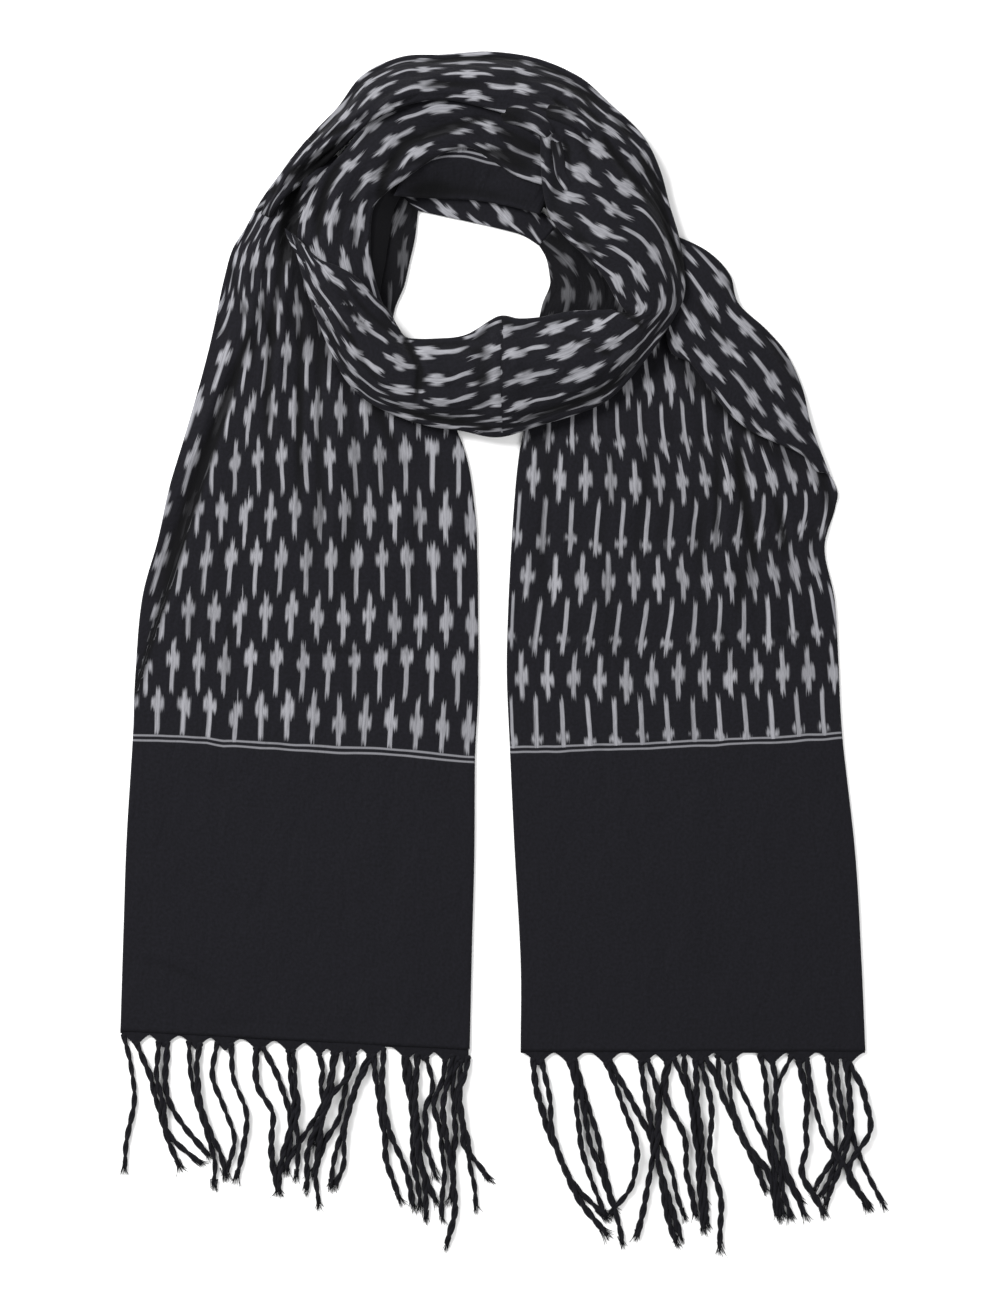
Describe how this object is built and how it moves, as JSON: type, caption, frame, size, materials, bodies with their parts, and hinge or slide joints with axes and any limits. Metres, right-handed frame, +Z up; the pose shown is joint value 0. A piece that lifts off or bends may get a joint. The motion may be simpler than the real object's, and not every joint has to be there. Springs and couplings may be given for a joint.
{
  "type": "scarf",
  "caption": "Woven cotton scarf wound into an open neck loop and laid flat, its folded tails side by side, with knotted twisted fringe along both hems.",
  "frame": {"origin": "on the surface that the scarf lies on, under the middle of its outline, fringes included", "axes": "+Y from the fringes towards the neck loop, +Z up out of the surface, +X to the right as the scarf is seen"},
  "size_m": [0.4972, 0.777, 0.0316],
  "materials": {
    "cloth": "matte",
    "plain_band": "matte",
    "fringe_yarn": "matte"
  },
  "bodies": {
    "root": {"left_tail": "cloth", "right_tail": "cloth", "left_shoulder": "cloth", "top_wrap": "cloth", "right_wrap": "cloth", "front_right": "cloth", "front_left": "cloth", "front_corner": "cloth", "inner_wrap_left": "cloth", "inner_wrap_back": "cloth", "neck_band": "plain_band", "neck_edge": "cloth", "inner_left": "cloth", "inner_right": "cloth", "shoulder_band": "cloth", "hidden_left": "cloth", "hidden_top": "cloth", "hidden_right": "cloth", "hidden_front_right": "cloth", "hidden_front_left": "cloth", "left_fringe": "fringe_yarn", "right_fringe": "fringe_yarn"}
  },
  "joints": []
}
